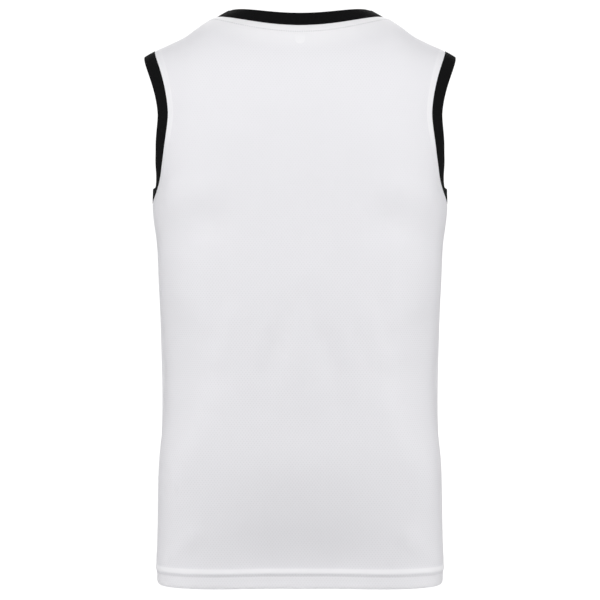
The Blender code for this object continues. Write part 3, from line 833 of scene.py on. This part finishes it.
# Topstitching
# White polyester thread, sewn by machine through both layers. One row holds the turned-down neck seam flat
# all round, and one holds up the hem.

HEM_PITCH = 0.0033
THREAD = 0.00042
THREAD_PROUD = 0.25  # share of its thickness by which its middle stands off the cloth
STITCH_SHARE = 0.8  # of the pitch; the needle's hole takes the rest
SHORTEST = 0.88  # share of its usual size that a stitch has at least
LONGEST = 1.08
STITCH_SEED = 5
# Painted shade: the white thread is painted grey, darker than the cloth
THREAD_SHADE = (0.60, 0.60, 0.62, 1.0)
THREAD_WHITE = (0.74, 0.74, 0.76, 1.0)


def neck_stitch_line(sheet):
    """The line on a panel at an even distance from the neck edge, from one shoulder seam to the other."""
    grid = np.concatenate((sheet.points, sheet.normals), axis=2)[::-1]
    gaps = sheet.from_neck[::-1]
    near = np.flatnonzero(gaps[0] < NECK_ALLOWANCE)
    line = []
    for column, beside in ((near[0], near[0] - 1), (near[-1], near[-1] + 1)):
        t = (NECK_ALLOWANCE - gaps[0, column]) / (gaps[0, beside] - gaps[0, column])
        line.append(grid[0, column] + (grid[0, beside] - grid[0, column]) * t)
    for column in near:
        row = int(np.argmax(gaps[:, column] >= NECK_ALLOWANCE))
        t = (NECK_ALLOWANCE - gaps[row - 1, column]) / (gaps[row, column] - gaps[row - 1, column])
        line.insert(-1, grid[row - 1, column] + (grid[row, column] - grid[row - 1, column]) * t)
    return np.array(line)


def hem_stitch_line(sheet):
    return np.concatenate((sheet.points[sheet.hem_row], sheet.normals[sheet.hem_row]), axis=1)


def stitch_tree():
    """Lays one rounded stitch after another along a line, level with the cloth under it."""
    tree = bpy.data.node_groups.new("row_of_stitches", "GeometryNodeTree")
    socket = tree.interface.new_socket
    socket(name="Line", in_out="INPUT", socket_type="NodeSocketGeometry")
    for name in ("Pitch", "Stitch Length", "Thread"):
        socket(name=name, in_out="INPUT", socket_type="NodeSocketFloat")
    socket(name="Seed", in_out="INPUT", socket_type="NodeSocketInt")
    socket(name="Finish", in_out="INPUT", socket_type="NodeSocketMaterial")
    socket(name="Stitches", in_out="OUTPUT", socket_type="NodeSocketGeometry")

    def add(kind, links=None, **settings):
        node = tree.nodes.new(kind)
        for name, value in settings.items():
            setattr(node, name, value)
        for key, source in (links or {}).items():
            if hasattr(source, "node"):
                tree.links.new(source, node.inputs[key])
            else:
                node.inputs[key].default_value = source
        return node.outputs

    given = add("NodeGroupInput")
    curve = add("GeometryNodeMeshToCurve", {"Mesh": given["Line"]})
    spots = add("GeometryNodeCurveToPoints", {"Curve": curve[0], "Length": given["Pitch"]}, mode="LENGTH")
    out = add("GeometryNodeInputNamedAttribute", {"Name": "out"}, data_type="FLOAT_VECTOR")
    upright = add("FunctionNodeAlignRotationToVector", {"Vector": out["Attribute"]}, axis="Z")
    turned = add(
        "FunctionNodeAlignRotationToVector",
        {"Rotation": upright[0], "Vector": spots["Tangent"]},
        axis="X",
        pivot_axis="Z",
    )
    thickness = given["Thread"]
    size = add("ShaderNodeCombineXYZ", {"X": given["Stitch Length"], "Y": thickness, "Z": thickness})
    ball = add("GeometryNodeMeshUVSphere", {"Segments": 6, "Rings": 5, "Radius": 0.5})
    stitch = add("GeometryNodeTransform", {"Geometry": ball["Mesh"], "Scale": size[0]})
    smooth = add("GeometryNodeSetShadeSmooth", {"Geometry": stitch[0]})
    limits = {2: SHORTEST, 3: LONGEST, "Seed": given["Seed"]}
    uneven = add("FunctionNodeRandomValue", limits, data_type="FLOAT")
    placed = add(
        "GeometryNodeInstanceOnPoints",
        {"Points": spots["Points"], "Instance": smooth[0], "Rotation": turned[0], "Scale": uneven[1]},
    )
    real = add("GeometryNodeRealizeInstances", {"Geometry": placed[0]})
    dressed = add("GeometryNodeSetMaterial", {"Geometry": real[0], "Material": given["Finish"]})
    add("NodeGroupOutput", {"Stitches": dressed[0]})
    return tree


def add_stitches(name, line, pitch, tree, finish):
    """A closed row of stitches along a line of points and ways out."""
    count = len(line)
    mesh = bpy.data.meshes.new(name)
    lifted = line[:, :3] + line[:, 3:] * THREAD * THREAD_PROUD
    mesh.from_pydata(lifted.tolist(), [(i, (i + 1) % count) for i in range(count)], [])
    ways = mesh.attributes.new("out", "FLOAT_VECTOR", "POINT")
    ways.data.foreach_set("vector", line[:, 3:].reshape(-1).astype(np.float32))
    row = bpy.data.objects.new(name, mesh)
    bpy.context.scene.collection.objects.link(row)
    sew = row.modifiers.new("sew", "NODES")
    sew.node_group = tree
    sizes = {"Pitch": pitch, "Stitch Length": pitch * STITCH_SHARE, "Thread": THREAD}
    given = {**sizes, "Seed": STITCH_SEED, "Finish": finish}
    for item in tree.interface.items_tree:
        if item.in_out == "INPUT" and item.name in given:
            sew[item.identifier] = given[item.name]
    depsgraph = bpy.context.evaluated_depsgraph_get()
    row.data = bpy.data.meshes.new_from_object(row.evaluated_get(depsgraph))
    row.data.name = name
    row.modifiers.clear()
    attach(row, "root")


thread = Finish("white_thread")
place = thread.node("ShaderNodeTexCoord", None, None, "Object")
twist = thread.node("ShaderNodeTexNoise", None, {"Vector": place, "Scale": 2600.0, "Detail": 1.0})
thread.relief(0.06 * twist)
# Painted shade: the thread is painted greyer than white, varied at random by the noise
thread.surface(Base_Color=thread.mix(twist, THREAD_SHADE, THREAD_WHITE), Roughness=0.55)

stitches = stitch_tree()
round_neck = np.concatenate((neck_stitch_line(back_sheet), neck_stitch_line(front_sheet)[-2:0:-1]))
add_stitches("neck_stitches", round_neck, NECK_PITCH, stitches, thread.material)
round_hem = np.concatenate((hem_stitch_line(back_sheet), hem_stitch_line(front_sheet)[-2:0:-1]))
add_stitches("hem_stitches", round_hem, HEM_PITCH, stitches, thread.material)


# Floor, light and camera
# A pale floor at the height where the wearer would stand, soft light all round and a large soft panel of
# light above and behind the camera.

FLOOR_HEIGHT = -1.42
FLOOR_REACH = 20
FLOOR_PALE = (0.78, 0.78, 0.78, 1.0)
FLOOR_PALER = (0.82, 0.82, 0.82, 1.0)
WHITE = (1.0, 1.0, 1.0, 1.0)
BACKDROP = 1.1  # strength of the white that the camera sees behind the jersey
SKY = 0.35  # strength of the soft light all round
LIGHT_SIZE = 1.2
SENSOR = 36.0  # in millimetres
CAMERA_DISTANCE = 3.0
CAMERA_HEIGHT = -0.3667
VIEW_WIDTH = 0.78  # what the camera sees across, at the jersey's middle

Light = namedtuple("Light", "name around above distance power")
STUDIO_LIGHTS = (
    Light("back_key_light", 0, 32, 2.2, 28.5),
    Light("left_side_light", 80, -4, 2.6, 18.0),
    Light("right_side_light", -80, -4, 2.6, 18.0),
    Light("front_key_light", 180, 35, 2.2, 28.0),
)

mesh = bpy.data.meshes.new("floor")
corners = [(x * FLOOR_REACH, y * FLOOR_REACH, FLOOR_HEIGHT) for x, y in ((-1, -1), (1, -1), (1, 1), (-1, 1))]
mesh.from_pydata(corners, [], [(0, 1, 2, 3)])
floor = bpy.data.objects.new("floor", mesh)
bpy.context.scene.collection.objects.link(floor)
pale = Finish("pale_floor")
place = pale.node("ShaderNodeTexCoord", None, None, "Object")
grain = pale.node("ShaderNodeTexNoise", None, {"Vector": place, "Scale": 3.0, "Detail": 4.0})
pale.surface(Base_Color=pale.mix(grain, FLOOR_PALE, FLOOR_PALER), Roughness=0.9)
glow = pale.node("ShaderNodeEmission", None, {"Color": WHITE, "Strength": BACKDROP})
seen = pale.node("ShaderNodeLightPath", None, None, "Is Camera Ray")
shown = pale.node("ShaderNodeMixShader", None, {0: seen, 1: Socket(pale, pale.shader.outputs[0]), 2: glow})
pale.put(pale.nodes["Material Output"].inputs["Surface"], shown)
floor.data.materials.append(pale.material)

scene = bpy.context.scene
scene.world = bpy.data.worlds.new("studio")
scene.world.use_nodes = True
nodes, links = scene.world.node_tree.nodes, scene.world.node_tree.links
sky = nodes["Background"]
backdrop = nodes.new("ShaderNodeBackground")
seen = nodes.new("ShaderNodeLightPath")
choose = nodes.new("ShaderNodeMixShader")
sky.inputs["Color"].default_value = WHITE
sky.inputs["Strength"].default_value = SKY
backdrop.inputs["Color"].default_value = WHITE
backdrop.inputs["Strength"].default_value = BACKDROP
links.new(seen.outputs["Is Camera Ray"], choose.inputs[0])
links.new(sky.outputs[0], choose.inputs[1])
links.new(backdrop.outputs[0], choose.inputs[2])
links.new(choose.outputs[0], nodes["World Output"].inputs["Surface"])


def add_soft_light(given):
    """A square panel of soft light that faces the jersey's middle, at an angle round it from the back."""
    light = bpy.data.lights.new(given.name, "AREA")
    light.size = LIGHT_SIZE
    light.energy = given.power
    turn, lift = math.radians(given.around), math.radians(given.above)
    way = Vector((math.sin(turn) * math.cos(lift), math.cos(turn) * math.cos(lift), math.sin(lift)))
    lamp = bpy.data.objects.new(given.name, light)
    lamp.location = Vector((0, 0, CAMERA_HEIGHT)) + way * given.distance
    lamp.rotation_euler = way.to_track_quat("Z", "Y").to_euler()
    lamp.visible_camera = False
    scene.collection.objects.link(lamp)


for given in STUDIO_LIGHTS:
    add_soft_light(given)

lens = bpy.data.cameras.new("camera")
lens.sensor_width = SENSOR
lens.lens = SENSOR * CAMERA_DISTANCE / VIEW_WIDTH
camera = bpy.data.objects.new("camera", lens)
camera.location = (0.0, CAMERA_DISTANCE, CAMERA_HEIGHT)
camera.rotation_euler = (math.pi / 2, 0.0, math.pi)
scene.collection.objects.link(camera)
scene.camera = camera
scene.view_settings.view_transform = "Standard"
